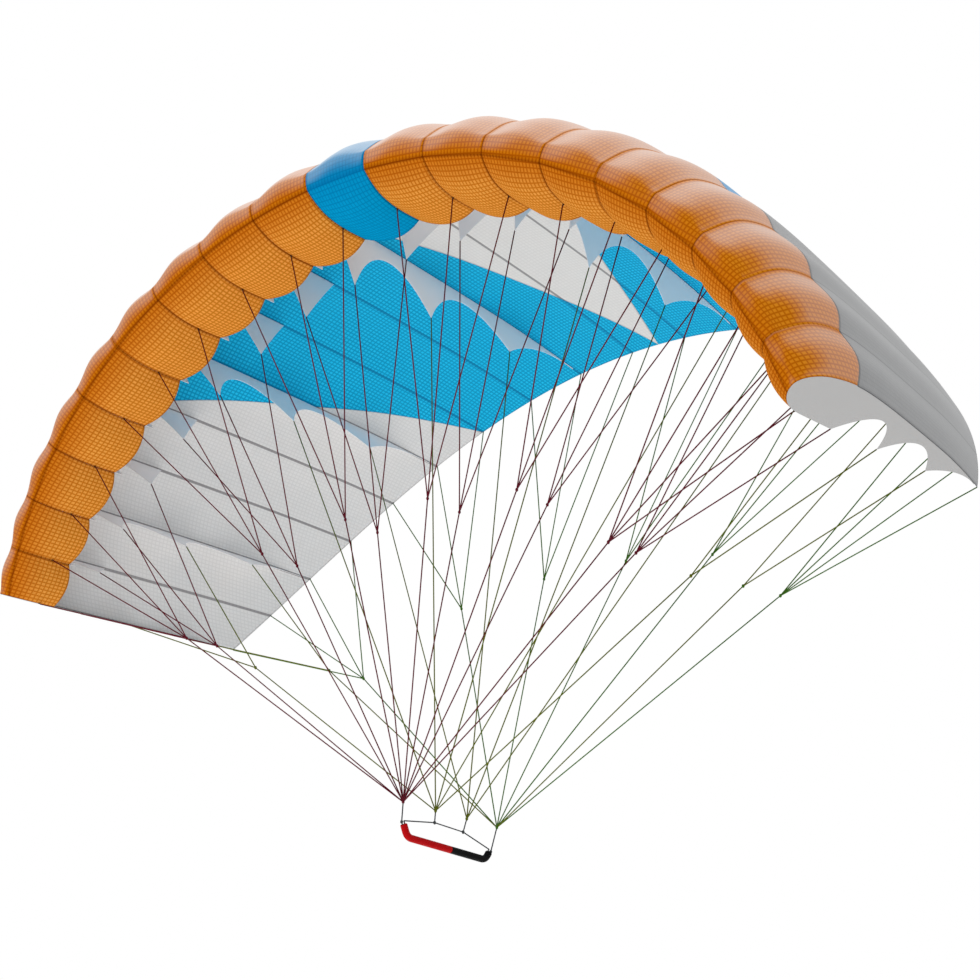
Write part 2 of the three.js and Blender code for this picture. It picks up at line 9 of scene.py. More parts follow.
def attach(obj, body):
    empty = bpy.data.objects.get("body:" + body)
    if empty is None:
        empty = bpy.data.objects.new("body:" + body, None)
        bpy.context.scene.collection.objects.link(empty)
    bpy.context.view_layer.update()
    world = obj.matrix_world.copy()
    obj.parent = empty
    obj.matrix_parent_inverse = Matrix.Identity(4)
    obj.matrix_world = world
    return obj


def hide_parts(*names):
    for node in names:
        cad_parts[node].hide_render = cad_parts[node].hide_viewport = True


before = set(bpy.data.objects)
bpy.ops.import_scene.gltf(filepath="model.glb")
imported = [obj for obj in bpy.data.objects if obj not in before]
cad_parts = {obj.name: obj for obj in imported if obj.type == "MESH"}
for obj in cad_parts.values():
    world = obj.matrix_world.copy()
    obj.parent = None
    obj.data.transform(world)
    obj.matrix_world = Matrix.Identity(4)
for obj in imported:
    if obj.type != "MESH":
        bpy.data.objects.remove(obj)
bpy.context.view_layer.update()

scene = bpy.context.scene

# Camera in front of the right tip and below the wing, looking up at it through a long lens.
# It stands at the photograph's place, in metres from the grip of the bar.
CAMERA_PLACE = (4.147, -4.856, -0.950)
CAMERA_AZIMUTH = math.radians(39.42)
CAMERA_LIFT = math.radians(17.28)
CAMERA_ROLL = math.radians(-0.556)
CAMERA_LENS = 85.08
CAMERA_REACH = 100.0


def put(name, data):
    """New object in the scene for a mesh, a lamp or a camera."""
    thing = bpy.data.objects.new(name, data)
    scene.collection.objects.link(thing)
    return thing


ahead = np.array([
    -math.sin(CAMERA_AZIMUTH) * math.cos(CAMERA_LIFT),
    math.cos(CAMERA_AZIMUTH) * math.cos(CAMERA_LIFT),
    math.sin(CAMERA_LIFT),
])
level = np.array([math.cos(CAMERA_AZIMUTH), math.sin(CAMERA_AZIMUTH), 0.0])
upright = np.cross(level, ahead)
right = level * math.cos(CAMERA_ROLL) + upright * math.sin(CAMERA_ROLL)
camera_data = bpy.data.cameras.new("camera")
camera_data.lens = CAMERA_LENS
camera_data.clip_end = CAMERA_REACH
camera = put("camera", camera_data)
camera.matrix_world = Matrix.Translation(CAMERA_PLACE) @ Matrix(
    np.column_stack([right, np.cross(right, ahead), -ahead]).tolist()
).to_4x4()
scene.camera = camera

# Plain white studio: an even white surround, and broad soft lights overhead, in front and just over the
# pale floor. The floor lies far enough below the bar that the camera looks over it.
SURROUND_SEEN = 1.0
SURROUND_LIGHT = 0.76
PANEL_SIZE = 6.0
PANELS = {  # place in metres, degrees turned from facing down, watts
    "overhead": ((0.0, -0.3, 6.0), 0.0, 105.0),
    "underneath": ((-2.2, -0.3, -1.3), 180.0, 66.0),
    "in_front": ((-1.5, -7.0, 1.5), 90.0, 62.0),
}
FLOOR_HEIGHT = -1.35
FLOOR_HALF = 40.0
FLOOR_GREY = (0.86, 0.86, 0.86, 1.0)
FLOOR_ROUGHNESS, FLOOR_GLOSS = 0.9, 0.5


def new_material(name, gloss):
    """New material of a level of gloss, with its node tree and its shader."""
    material = bpy.data.materials.new(name)
    material.use_nodes = True
    shader = material.node_tree.nodes["Principled BSDF"]
    shader.inputs["Specular IOR Level"].default_value = gloss
    return material, material.node_tree, shader


world = bpy.data.worlds.new("studio")
world.use_nodes = True
world_tree = world.node_tree
surround = world_tree.nodes["Background"]
eye = world_tree.nodes.new("ShaderNodeLightPath")
light_level = world_tree.nodes.new("ShaderNodeMapRange")
light_level.inputs["To Min"].default_value = SURROUND_LIGHT
light_level.inputs["To Max"].default_value = SURROUND_SEEN
world_tree.links.new(eye.outputs["Is Camera Ray"], light_level.inputs["Value"])
surround.inputs["Color"].default_value = (1.0, 1.0, 1.0, 1.0)
world_tree.links.new(light_level.outputs["Result"], surround.inputs["Strength"])
scene.world = world
scene.view_settings.view_transform = "Standard"

for name, (spot, tilt, power) in PANELS.items():
    lamp_data = bpy.data.lights.new(name, "AREA")
    lamp_data.size = PANEL_SIZE
    lamp_data.energy = power
    lamp = put(name, lamp_data)
    lamp.matrix_world = Matrix.Translation(spot) @ Matrix.Rotation(math.radians(tilt), 4, "X")
    lamp.visible_camera = False

floor_mesh = bpy.data.meshes.new("floor")
corners = [(x * FLOOR_HALF, y * FLOOR_HALF, FLOOR_HEIGHT) for x, y in ((-1, -1), (1, -1), (1, 1), (-1, 1))]
floor_mesh.from_pydata(corners, [], [(0, 1, 2, 3)])
floor = put("floor", floor_mesh)
floor_paint, _, floor_shader = new_material("floor_paint", FLOOR_GLOSS)
floor_shader.inputs["Base Color"].default_value = FLOOR_GREY
floor_shader.inputs["Roughness"].default_value = FLOOR_ROUGHNESS
floor_mesh.materials.append(floor_paint)

# Nose panels: one piece of orange ripstop for each cell, blue in the centre cell, cut to billow between the
# ribs. Each is sewn to the ribs at its sides and to the top skin behind, with a stitched seam at the nose.
CELLS = 19
CELL_WIDTH = 0.214  # centre cell, from rib to rib along the cloth
TIP_NARROWING = 0.332  # share of that width that the outermost cell has lost
ROOT_CHORD = 1.569
CHORD_LOSS = (0.2, 0.191)  # shares lost at the tip by a square and by a fourth power
NOSE_SWEEP = (0.016, 0.037)  # metres back at the tip by the same two powers
ARCH = (1.111, 0.122)  # radians of cant at the tip, in a linear and a cubic part
ARCH_POINTS, ARCH_REACH = 3000, 1.01
TIP_TWIST = -0.0148
BAR_BACK, BAR_DROP = 0.489, 1.798  # the bar's place behind and below the nose of the centre cell
AIRFOIL = np.array([  # chords back from the nose and up from the chord line
    (0.205, -0.0165), (0.150, -0.0155), (0.095, -0.0125), (0.050, -0.0020), (0.018, 0.0160),
    (-0.004, 0.0370), (-0.017, 0.0620), (-0.014, 0.0840), (0.004, 0.1045), (0.038, 0.1225),
    (0.085, 0.1335), (0.145, 0.1395), (0.215, 0.1375), (0.320, 0.1260), (0.450, 0.1070),
    (0.600, 0.0830), (0.750, 0.0575), (0.880, 0.0300), (1.000, 0.0000),
])
BILLOW_LOWER, BILLOW_NOSE, BILLOW_CROWN = 0.11, 0.026, 0.072  # rise between ribs, in cell widths
BILLOW_FADE = 0.8  # power with which the billow dies out towards the trailing edge
SEAM_REACH = 0.026  # the nose seam holds the lower billow down this far, in outline lengths
UPPER_RISE, VALLEY_REACH = 0.05, 0.02  # outline lengths from nose seam to full billow, and to round valleys
CENTRE_HEIGHT = 0.927  # height of the top at the centre, over its height at the tips
TOP_BLEND = 0.7  # share of the way from nose seam to crown where the top has that height
NOSE_CUT = np.array([  # outline lengths from the nose seam, and depth of the cut in chords
    (0.000, 0.0000), (0.008, 0.0050), (0.016, 0.0107), (0.026, 0.0168), (0.038, 0.0217), (0.052, 0.0237),
    (0.070, 0.0214), (0.092, 0.0139), (0.120, 0.0045), (0.155, 0.0009), (0.200, 0.0000), (0.260, 0.0000),
])
NOSE_CUT_FADE = 35  # power with which the cut dies out towards the tips
LEFT_TIP_CUT = 0.7  # share of the cut that the left tip keeps
LIP_BACK, LIP_BULGE = 0.154, 0.012  # chords back of the lower edge at a rib, and further back in mid cell
CROWN_BACK, CROWN_BULGE = 0.163, 0.024  # the same of the seam to the top skin
NOSE_SEAM_BACK = 0.0
CLOTH = 0.0012
SEAM_GAP, TIP_GAP, CROWN_GAP = 0.00006, 0.0009, 0.0003
PANEL_COLUMNS = 24
PANEL_LOWER_ROWS = 22
PANEL_UPPER_ROWS = 30
WEAVE_WIDTH, WEAVE_ROW = 0.0115, 0.0147
WEAVE_BUMP = (0.25, 0.0004)  # strength, and height in metres
# Share of a lean to the left that counts as facing the light, in the mask of the painted highlight in the
# sheen
LIT_LEFT = 1.8


def spline_samples(points, per_stretch=120):
    """Points of a Catmull-Rom spline: each stretch is the cubic that leaves and meets its end points along
    the chord between their neighbours."""
    padded = np.vstack([points[:1], points, points[-1:]])
    a, b, c, d = (padded[k:k + len(points) - 1, None] for k in range(4))
    t = np.linspace(0, 1, per_stretch, endpoint=False)[None, :, None]
    leave, meet = (c - a) / 2, (d - b) / 2
    cubic, square = 2 * b - 2 * c + leave + meet, 3 * c - 3 * b - 2 * leave - meet
    samples = cubic * t ** 3 + square * t ** 2 + leave * t + b
    return np.vstack([samples.reshape(-1, points.shape[1]), points[-1:]])


outline = spline_samples(AIRFOIL)
outline_run = np.r_[0, np.cumsum(np.linalg.norm(np.diff(outline, axis=0), axis=1))]
outline_length = outline_run[-1]
outline_share = outline_run / outline_length
outline_along = np.gradient(outline, axis=0)
outline_along /= np.linalg.norm(outline_along, axis=1)[:, None]
foremost = int(np.argmin(outline[:, 0]))
nose_cut = spline_samples(NOSE_CUT)

half_cells = CELLS // 2
widths = CELL_WIDTH * (1 - TIP_NARROWING * (np.arange(1, half_cells + 1) / half_cells) ** 2)
half_ribs = CELL_WIDTH / 2 + np.r_[0, np.cumsum(widths)]
ribs = np.r_[-half_ribs[::-1], half_ribs]
half_span = half_ribs[-1]

arch_run = np.linspace(0, half_span * ARCH_REACH, ARCH_POINTS)
arch_cant = ARCH[0] * arch_run / half_span + ARCH[1] * (arch_run / half_span) ** 3
arch_step = np.diff(arch_run)
arch_out = np.r_[0, np.cumsum((np.cos(arch_cant)[1:] + np.cos(arch_cant)[:-1]) / 2 * arch_step)]
arch_fall = np.r_[0, np.cumsum((np.sin(arch_cant)[1:] + np.sin(arch_cant)[:-1]) / 2 * arch_step)]


def smooth(x, low, high):
    """Smooth step: 0 below low, 1 above high, and a cubic between them."""
    t = np.clip((x - low) / (high - low), 0, 1)
    return t * t * (3 - 2 * t)


def chord(s):
    """Chord at a place s along the span: the root's, less a square and a fourth power of s."""
    u = np.abs(s) / half_span
    return ROOT_CHORD * (1 - CHORD_LOSS[0] * u ** 2 - CHORD_LOSS[1] * u ** 4)


def place(s, back, up):
    """Point at a distance back and up from the nose of the chord line at s. The chord line follows the arch,
    swept back and twisted a little towards the tip, and up is square to the arch."""
    s, back, up = np.broadcast_arrays(s, back, up)
    u = np.abs(s) / half_span
    cant = np.interp(np.abs(s), arch_run, arch_cant)
    twist = TIP_TWIST * u ** 2
    rear = back * np.cos(twist) + up * np.sin(twist)
    high = up * np.cos(twist) - back * np.sin(twist)
    side = np.where(s < 0, -1.0, 1.0)
    return np.stack([
        side * (np.interp(np.abs(s), arch_run, arch_out) + high * np.sin(cant)),
        NOSE_SWEEP[0] * u ** 2 + NOSE_SWEEP[1] * u ** 4 + rear - BAR_BACK,
        high * np.cos(cant) - np.interp(np.abs(s), arch_run, arch_fall) + BAR_DROP,
    ], axis=-1)


def share_at(back, upper):
    """Share of the outline's length at which it lies that many chords back, on its upper or lower side."""
    if upper:
        return np.interp(back, outline[foremost:, 0], outline_share[foremost:])
    return np.interp(back, outline[foremost::-1, 0], outline_share[foremost::-1])


nose_seam = float(share_at(NOSE_SEAM_BACK, False))
crown_start = float(share_at(CROWN_BACK, True))
top_start = nose_seam + (crown_start - nose_seam) * TOP_BLEND


def section(s, share, lift):
    """Distances back and up of a rib's outline at s, raised by a lift along its normal. The top is lower at
    the centre of the wing, and the nose of the inner ribs is cut back above the nose seam. The cut dies out
    at the right tip, and in part at the left one, which flies with its nose drawn in."""
    u = np.abs(s) / half_span
    back, up = (np.interp(share, outline_share, outline[:, k]) for k in range(2))
    along_back, along_up = (np.interp(share, outline_share, outline_along[:, k]) for k in range(2))
    lost = np.where(s < 0, 1 - LEFT_TIP_CUT, 1.0) * np.minimum(u, 1) ** NOSE_CUT_FADE
    cut = np.interp(share - nose_seam, nose_cut[:, 0], nose_cut[:, 1]) * (1 - lost)
    height = 1 + (CENTRE_HEIGHT - 1) * (1 - u ** 2) * smooth(share, nose_seam, top_start)
    off = lift - cut * chord(s)
    return back * chord(s) - along_up * off, up * height * chord(s) + along_back * off


def cell_rise(s):
    """Width of the cell at s, and a parabola that is 0 at its ribs and 1 in its middle."""
    cell = np.clip(np.searchsorted(ribs, s, side="right") - 1, 0, CELLS - 1)
    width = ribs[cell + 1] - ribs[cell]
    across = np.clip((s - ribs[cell]) / width, 0, 1)
    return width, 4 * across * (1 - across)


def skin(s, share):
    """Outer face of the cloth: the section at s, raised between the ribs by the billow of that cell. The
    billow is full on the lower nose, held down at the nose seam, and dies out towards the trailing edge.
    Above the nose seam its parabola is squared, so that the valleys at the ribs are round."""
    width, rise = cell_rise(s)
    back = np.interp(share, outline_share, outline[:, 0])
    hold = np.exp(-((share - nose_seam) / SEAM_REACH) ** 2)
    lower = BILLOW_LOWER + (BILLOW_NOSE - BILLOW_LOWER) * hold
    above = smooth(share, nose_seam, nose_seam + UPPER_RISE)
    upper = BILLOW_NOSE + (BILLOW_CROWN - BILLOW_NOSE) * above
    rise = rise * (1 - smooth(share, nose_seam, nose_seam + VALLEY_REACH) * (1 - rise))
    fade = (1 - np.clip(back, 0, 1)) ** BILLOW_FADE
    billow = np.where(share < nose_seam, lower, upper * fade)
    return place(s, *section(s, share, billow * width * rise))


def grid_mesh(name, points, weave, marks):
    """Mesh of quads through a grid of points, with a map of the cloth in metres and marks at its points."""
    columns, rows = points.shape[:2]
    index = np.arange(columns * rows).reshape(columns, rows)
    corners = [index[:-1, :-1], index[1:, :-1], index[1:, 1:], index[:-1, 1:]]
    quads = np.stack(corners, axis=-1).reshape(-1, 4)
    mesh = bpy.data.meshes.new(name)
    mesh.vertices.add(columns * rows)
    mesh.vertices.foreach_set("co", points.ravel())
    mesh.loops.add(quads.size)
    mesh.loops.foreach_set("vertex_index", quads.ravel())
    mesh.polygons.add(len(quads))
    mesh.polygons.foreach_set("loop_start", np.arange(0, quads.size, 4))
    mesh.polygons.foreach_set("use_smooth", np.ones(len(quads), dtype=bool))
    mesh.update()
    cloth_map = mesh.uv_layers.new(name="weave")
    cloth_map.data.foreach_set("uv", weave.reshape(-1, 2)[quads.ravel()].ravel())
    for key, values in marks.items():
        mesh.attributes.new(key, "FLOAT", "POINT").data.foreach_set("value", values.ravel())
    return mesh


def cloth_object(name, mesh, materials, inside):
    """Object for a sheet, thickened inwards. Its inner face takes the finish that many places further on."""
    for material in materials:
        mesh.materials.append(material)
    piece = put(name, mesh)
    thick = piece.modifiers.new("thickness", "SOLIDIFY")
    thick.thickness = CLOTH
    thick.offset = -1.0
    thick.material_offset = inside
    return piece


def faces_light(points):
    """How far each point of a grid faces the light, the mask of a painted highlight: the height of its unit
    normal, which is the cross product of the grid's two directions, times one and a share of its lean to the
    left."""
    normal = np.cross(np.gradient(points, axis=0), np.gradient(points, axis=1))
    normal /= np.linalg.norm(normal, axis=-1)[..., None]
    return normal[..., 2] * (1 + LIT_LEFT * np.maximum(0, -normal[..., 0]))


def wire(tree, kind, inputs=None, **settings):
    """New shader node with its settings, and each input a value or a link from another node's output."""
    node = tree.nodes.new(kind)
    for name, value in settings.items():
        setattr(node, name, value)
    for key, value in (inputs or {}).items():
        if isinstance(value, bpy.types.NodeSocket):
            tree.links.new(value, node.inputs[key])
        else:
            node.inputs[key].default_value = value
    return node


def linear(red, green, blue):
    """Linear colour of an sRGB colour given in steps of 255."""
    steps = np.array([red, green, blue]) / 255
    bright = np.where(steps > 0.04045, ((steps + 0.055) / 1.055) ** 2.4, steps / 12.92)
    return (*bright.tolist(), 1.0)


def ramp(tree, value, near, far, at_near, at_far):
    """Smooth change from one number to another as a value goes from near to far."""
    limits = {"Value": value, "From Min": near, "From Max": far, "To Min": at_near, "To Max": at_far}
    return wire(tree, "ShaderNodeMapRange", limits, interpolation_type="SMOOTHSTEP").outputs["Result"]


def mark(tree, name):
    """Number stored at the points of a piece."""
    return wire(tree, "ShaderNodeAttribute", attribute_name=name).outputs["Fac"]


def times(tree, first, second):
    """Product of two numbers."""
    return wire(tree, "ShaderNodeMath", {0: first, 1: second}, operation="MULTIPLY").outputs["Value"]


def mixed(tree, factor, first, second):
    """Colour between two others, the first where the factor is 0 and the second where it is 1."""
    inputs = {"Factor": factor, "A": first, "B": second}
    return wire(tree, "ShaderNodeMix", inputs, data_type="RGBA").outputs["Result"]


def relief(tree, shader, height, strength, depth):
    """Gives a shader bumps that follow a height."""
    bump = wire(tree, "ShaderNodeBump", {"Height": height, "Strength": strength, "Distance": depth})
    tree.links.new(bump.outputs["Normal"], shader.inputs["Normal"])


def ripstop(name, colours, thread_width, roughness, gloss):
    """Ripstop cloth: small squares of two close shades in a grid of heavier and rougher threads, which stand
    up a little. Returns the material, its tree, its shader and the colour before any seams."""
    material, tree, shader = new_material(name, gloss)
    ground, light_ground, thread = (linear(*colour) for colour in colours)
    cloth_map = wire(tree, "ShaderNodeUVMap", uv_map="weave").outputs["UV"]
    squares = wire(tree, "ShaderNodeTexBrick", {
        "Vector": cloth_map, "Color1": ground, "Color2": light_ground, "Mortar": thread, "Scale": 1.0,
        "Mortar Size": thread_width, "Mortar Smooth": 1.0, "Bias": 0.0, "Brick Width": WEAVE_WIDTH,
        "Row Height": WEAVE_ROW}, offset=0.0, squash=1.0)
    tree.links.new(ramp(tree, squares.outputs["Fac"], 0.0, 1.0, *roughness), shader.inputs["Roughness"])
    relief(tree, shader, squares.outputs["Fac"], *WEAVE_BUMP)
    return material, tree, shader, squares.outputs["Color"]


def shaded(tree, colour, tint, distance, near, far, lack):
    """Colour multiplied by a tint near a seam: the seam's own darker colour in some uses, painted shade in
    others.
    Nearer than near the tint lacks that share of its strength, and past far it has none."""
    amount = ramp(tree, mark(tree, distance), near, far, lack, 1.0)
    veil = mixed(tree, amount, (*tint, 1.0), (1.0, 1.0, 1.0, 1.0))
    return wire(tree, "ShaderNodeVectorMath", {0: colour, 1: veil}, operation="MULTIPLY").outputs["Vector"]


# Seams and painted shade of the nose cloth: where the tint starts and ends to fade, and the share it lacks
# inside.
# The nose shade is painted shade, deeper and darker towards the nose seam where the cloth turns from the
# light.
LOWER_NOSE_SHADE, UPPER_NOSE_SHADE = (0.0, 0.11, 0.0), (0.0, 0.09, 0.0)
# The seam tints are the seams' own darker lines with painted shade in their creases and in the valleys at
# the ribs
LOWER_SEAM_AND_SHADE, UPPER_SEAM_AND_SHADE = (0.001, 0.010, 0.2), (0.0, 0.010, 0.5)
RIB_SEAM_AND_SHADE = (0.0, 0.008, 0.4)
HEM_STITCH = (0.003, 0.007, 0.7)
RIB_LINE = (0.0006, 0.004, 0.5)
RIB_LINE_FADE = (0.03, 0.09)
LOWER_ROUGHNESS, UPPER_ROUGHNESS = (0.5, 0.65), (0.45, 0.6)  # of the squares and of the threads
NOSE_GLOSS = 0.0

# Sheen of the coated nose cloth: its tint, and how it grows towards the sky, at grazing angles and off a
# rib.
# Its growth towards the sky and the lit left is a painted highlight where the light falls.
SHEEN_TINT = (0.80, 0.81, 0.81, 1.0)
SHEEN_ROUGHNESS = 0.95
SHEEN_FLOOR_RISE, SHEEN_FLOOR = (-0.25, 0.05), 0.42
LIT_SHEEN_RISE, LIT_SHEEN = (0.25, 0.85), 0.95
GRAZING = (0.15, 0.4)
RIB_SHEEN = (0.0, 0.014, 0.25)


def lower_nose_cloth(name, colours, thread_width, nose_shade, seam_and_shade):
    """Ripstop of the lower half of a nose panel, with painted shade deeper in colour towards the nose, where
    the cloth turns from the light. It is darker in the folded seam along the nose and in the valleys at the
    ribs, the seams' own lines with painted shade in their creases, and in the stitching of the hem."""
    material, tree, shader, colour = ripstop(name, colours, thread_width, LOWER_ROUGHNESS, NOSE_GLOSS)
    colour = shaded(tree, colour, nose_shade, "to_nose_seam", *LOWER_NOSE_SHADE)
    colour = shaded(tree, colour, seam_and_shade, "to_nose_seam", *LOWER_SEAM_AND_SHADE)
    colour = shaded(tree, colour, seam_and_shade, "to_rib", *RIB_SEAM_AND_SHADE)
    colour = shaded(tree, colour, seam_and_shade, "to_lip", *HEM_STITCH)
    tree.links.new(colour, shader.inputs["Base Color"])
    return material


def upper_nose_cloth(name, colours, thread_width, nose_shade, seam_and_shade):
    """Ripstop of the upper half of a nose panel, with painted shade deeper in colour towards the nose seam,
    a thin line at each rib that dies out up the lobe, and a sheen at grazing angles whose weight is a
    painted highlight, strong where the cloth faces the sky and the lit left."""
    material, tree, shader, colour = ripstop(name, colours, thread_width, UPPER_ROUGHNESS, NOSE_GLOSS)
    colour = shaded(tree, colour, nose_shade, "to_nose_seam", *UPPER_NOSE_SHADE)
    colour = shaded(tree, colour, seam_and_shade, "to_nose_seam", *UPPER_SEAM_AND_SHADE)
    line = ramp(tree, mark(tree, "to_rib"), *RIB_LINE, 1.0)
    colour = shaded(tree, colour, seam_and_shade, "to_nose_seam", *RIB_LINE_FADE, line)
    tree.links.new(colour, shader.inputs["Base Color"])
    # Painted highlight: the sheen's weight grows where the cloth faces the sky and the lit left
    sheen_floor = ramp(tree, mark(tree, "faces_light"), *SHEEN_FLOOR_RISE, 0.0, SHEEN_FLOOR)
    sky = ramp(tree, mark(tree, "faces_light"), *LIT_SHEEN_RISE, sheen_floor, LIT_SHEEN)
    turn = wire(tree, "ShaderNodeLayerWeight", {"Blend": 0.5}).outputs["Facing"]
    sheen = times(tree, sky, ramp(tree, turn, *GRAZING, 0.0, 1.0))
    sheen = times(tree, sheen, ramp(tree, mark(tree, "to_rib"), *RIB_SHEEN, 1.0))
    tree.links.new(sheen, shader.inputs["Sheen Weight"])
    shader.inputs["Sheen Roughness"].default_value = SHEEN_ROUGHNESS
    shader.inputs["Sheen Tint"].default_value = SHEEN_TINT
    return material


# Tints of painted shade towards the nose seam, where the cloth turns from the light
ORANGE_NOSE_SHADE = (0.78, 0.56, 0.16)
ORANGE_UPPER_NOSE_SHADE = (0.90, 0.76, 0.40)
# Tints of the seams' own darker colour with painted shade in their creases, also used for the stitching of
# the hem
ORANGE_SEAM_AND_SHADE = (0.46, 0.32, 0.10)
BLUE_NOSE_SHADE = (0.9, 0.9, 0.95)
BLUE_SEAM_AND_SHADE = (0.5, 0.7, 0.8)
orange_lower = lower_nose_cloth("orange_lower", ((238, 161, 72), (232, 154, 66), (196, 112, 22)), 0.0040,
                                ORANGE_NOSE_SHADE, ORANGE_SEAM_AND_SHADE)
orange_upper = upper_nose_cloth("orange_upper", ((220, 136, 28), (215, 131, 24), (184, 98, 6)), 0.0040,
                                ORANGE_UPPER_NOSE_SHADE, ORANGE_SEAM_AND_SHADE)
blue_lower = lower_nose_cloth("blue_lower", ((4, 150, 202), (6, 154, 206), (2, 128, 180)), 0.0026,
                              BLUE_NOSE_SHADE, BLUE_SEAM_AND_SHADE)
blue_upper = upper_nose_cloth("blue_upper", ((8, 138, 192), (10, 142, 196), (4, 122, 174)), 0.0022,
                              BLUE_NOSE_SHADE, BLUE_SEAM_AND_SHADE)

for cell in range(CELLS):
    low = ribs[cell] + (TIP_GAP if cell == 0 else SEAM_GAP)
    high = ribs[cell + 1] - (TIP_GAP if cell == CELLS - 1 else SEAM_GAP)
    across = np.linspace(low, high, PANEL_COLUMNS + 1)
    _, rise = cell_rise(across)
    lip = share_at(LIP_BACK + LIP_BULGE * rise, False)[:, None]
    crown = share_at(CROWN_BACK + CROWN_BULGE * rise, True) - CROWN_GAP / (chord(across) * outline_length)
    lower = lip + (nose_seam - lip) * np.linspace(0, 1, PANEL_LOWER_ROWS, endpoint=False)
    upper = nose_seam + (crown[:, None] - nose_seam) * np.linspace(0, 1, PANEL_UPPER_ROWS + 1)
    shares = np.hstack([lower, upper])
    spans = np.broadcast_to(across[:, None], shares.shape)
    panel = skin(spans, shares)
    run = shares * outline_length * chord(spans)
    seam_run = nose_seam * outline_length * chord(spans)
    panel_marks = {
        "to_rib": np.minimum(spans - ribs[cell], ribs[cell + 1] - spans),
        "to_nose_seam": np.abs(run - seam_run),
        "to_lip": run - run[:, :1],
        "faces_light": faces_light(panel),
    }
    mesh = grid_mesh(f"nose_panel_{cell:02d}", panel, np.stack([spans, run], axis=-1), panel_marks)
    above = np.arange(shares.shape[1] - 1) >= PANEL_LOWER_ROWS
    mesh.polygons.foreach_set("material_index", np.tile(above, PANEL_COLUMNS).astype(np.int32))
    blue = cell == half_cells
    piece = cloth_object(f"nose_panel_{cell:02d}", mesh,
                         [blue_lower, blue_upper] if blue else [orange_lower, orange_upper], 0)
    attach(piece, "root")
    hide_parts(f"leading_edge_{cell:02d}")

# Top skin: five blocks of thin ripstop sewn edge to edge, two pale tips, two blue blocks and a pale centre
# triangle. Seams run along each rib, along the colour borders and along the hem of the trailing edge.
INNER_BORDER = (1.75 * CELL_WIDTH, 0.0)  # place along the half span at the crown and at the trailing edge
OUTER_BORDER = (5.5 * CELL_WIDTH, 3.443 * CELL_WIDTH)
BORDER_TRIALS = 20000
BORDER_TIP = 0.002
BLOCK_GAP = 0.0006
TOP_COLUMNS = 14
TOP_ROWS = 90
TOP_ROUGHNESS = (0.55, 0.7)
TOP_GLOSS = 0.06
TOP_SHEEN, UNDER_SHEEN = 0.4, 0.0
TOP_SEAM, BLUE_SEAM, PALE_SEAM = 0.0012, 0.0045, 0.0034  # half widths of the seams along the ribs
SEAM_FADE = 0.0015
EDGE_SEAM = (0.003, 0.005, 0.6)


def border_back(s, border):
    """Chords back at which a colour border, straight in the flat from crown to trailing edge, crosses s."""
    front, rear = border
    return 1 + (CROWN_BACK - 1) * (np.abs(s) - rear) / (front - rear)


def crown_back(s):
    """Chords back of the seam between nose panel and top skin."""
    return CROWN_BACK + CROWN_BULGE * cell_rise(s)[1]


def border_start(border):
    """Place along the half span at which a colour border meets the crown seam."""
    trial = np.linspace(border[1], half_span, BORDER_TRIALS)
    return float(trial[np.argmax(border_back(trial, border) <= crown_back(trial))])


inner_start = border_start(INNER_BORDER)
outer_start = border_start(OUTER_BORDER)
tip_edge = half_span + CLOTH / 2
tip_inner = OUTER_BORDER[1] + BORDER_TIP


def front_edge(s, border):
    """Chords back of a block's front edge: the crown seam, or its border where that lies further back."""
    return np.maximum(crown_back(s), border_back(s, border)) if border else crown_back(s)


def rear_edge(s, border):
    """Chords back of a block's rear edge: its border, or the trailing edge."""
    return np.minimum(1, border_back(s, border)) if border else np.ones_like(s)


def top_cloth(name, colours, thread_width, seam, seam_width, sheen):
    """Thin ripstop of the top skin, darker in the doubled cloth along ribs and edges of the block."""
    material, tree, shader, colour = ripstop(name, colours, thread_width, TOP_ROUGHNESS, TOP_GLOSS)
    colour = shaded(tree, colour, seam, "to_rib", seam_width, seam_width + SEAM_FADE, 0.0)
    colour = shaded(tree, colour, seam, "to_edge", *EDGE_SEAM)
    tree.links.new(colour, shader.inputs["Base Color"])
    shader.inputs["Sheen Weight"].default_value = sheen
    return material


# The outer faces take darker copies of the colours of the inner faces of the same sheets: painted shade
blue_under = top_cloth("blue_under", ((32, 197, 239), (26, 192, 236), (0, 146, 198)), 0.0040,
                       (0.4, 0.6, 0.68), BLUE_SEAM, UNDER_SHEEN)
blue_top = top_cloth("blue_top", ((16, 150, 208), (20, 154, 212), (8, 136, 194)), 0.0018,
                     (0.6, 0.7, 0.75), TOP_SEAM, TOP_SHEEN)
pale_under = top_cloth("pale_under", ((229, 228, 226), (227, 226, 224), (221, 220, 218)), 0.0030,
                       (0.42, 0.42, 0.43), PALE_SEAM, UNDER_SHEEN)
pale_top = top_cloth("pale_top", ((178, 179, 179), (182, 183, 183), (170, 171, 172)), 0.0016,
                     (0.5, 0.5, 0.5), TOP_SEAM, TOP_SHEEN)
tip_under = top_cloth("tip_under", ((228, 227, 226), (225, 224, 223), (216, 215, 214)), 0.0030,
                      (0.42, 0.41, 0.42), PALE_SEAM, UNDER_SHEEN)
tip_top = top_cloth("tip_top", ((146, 147, 148), (150, 151, 152), (138, 139, 141)), 0.0016,
                    (0.45, 0.45, 0.46), TOP_SEAM, TOP_SHEEN)

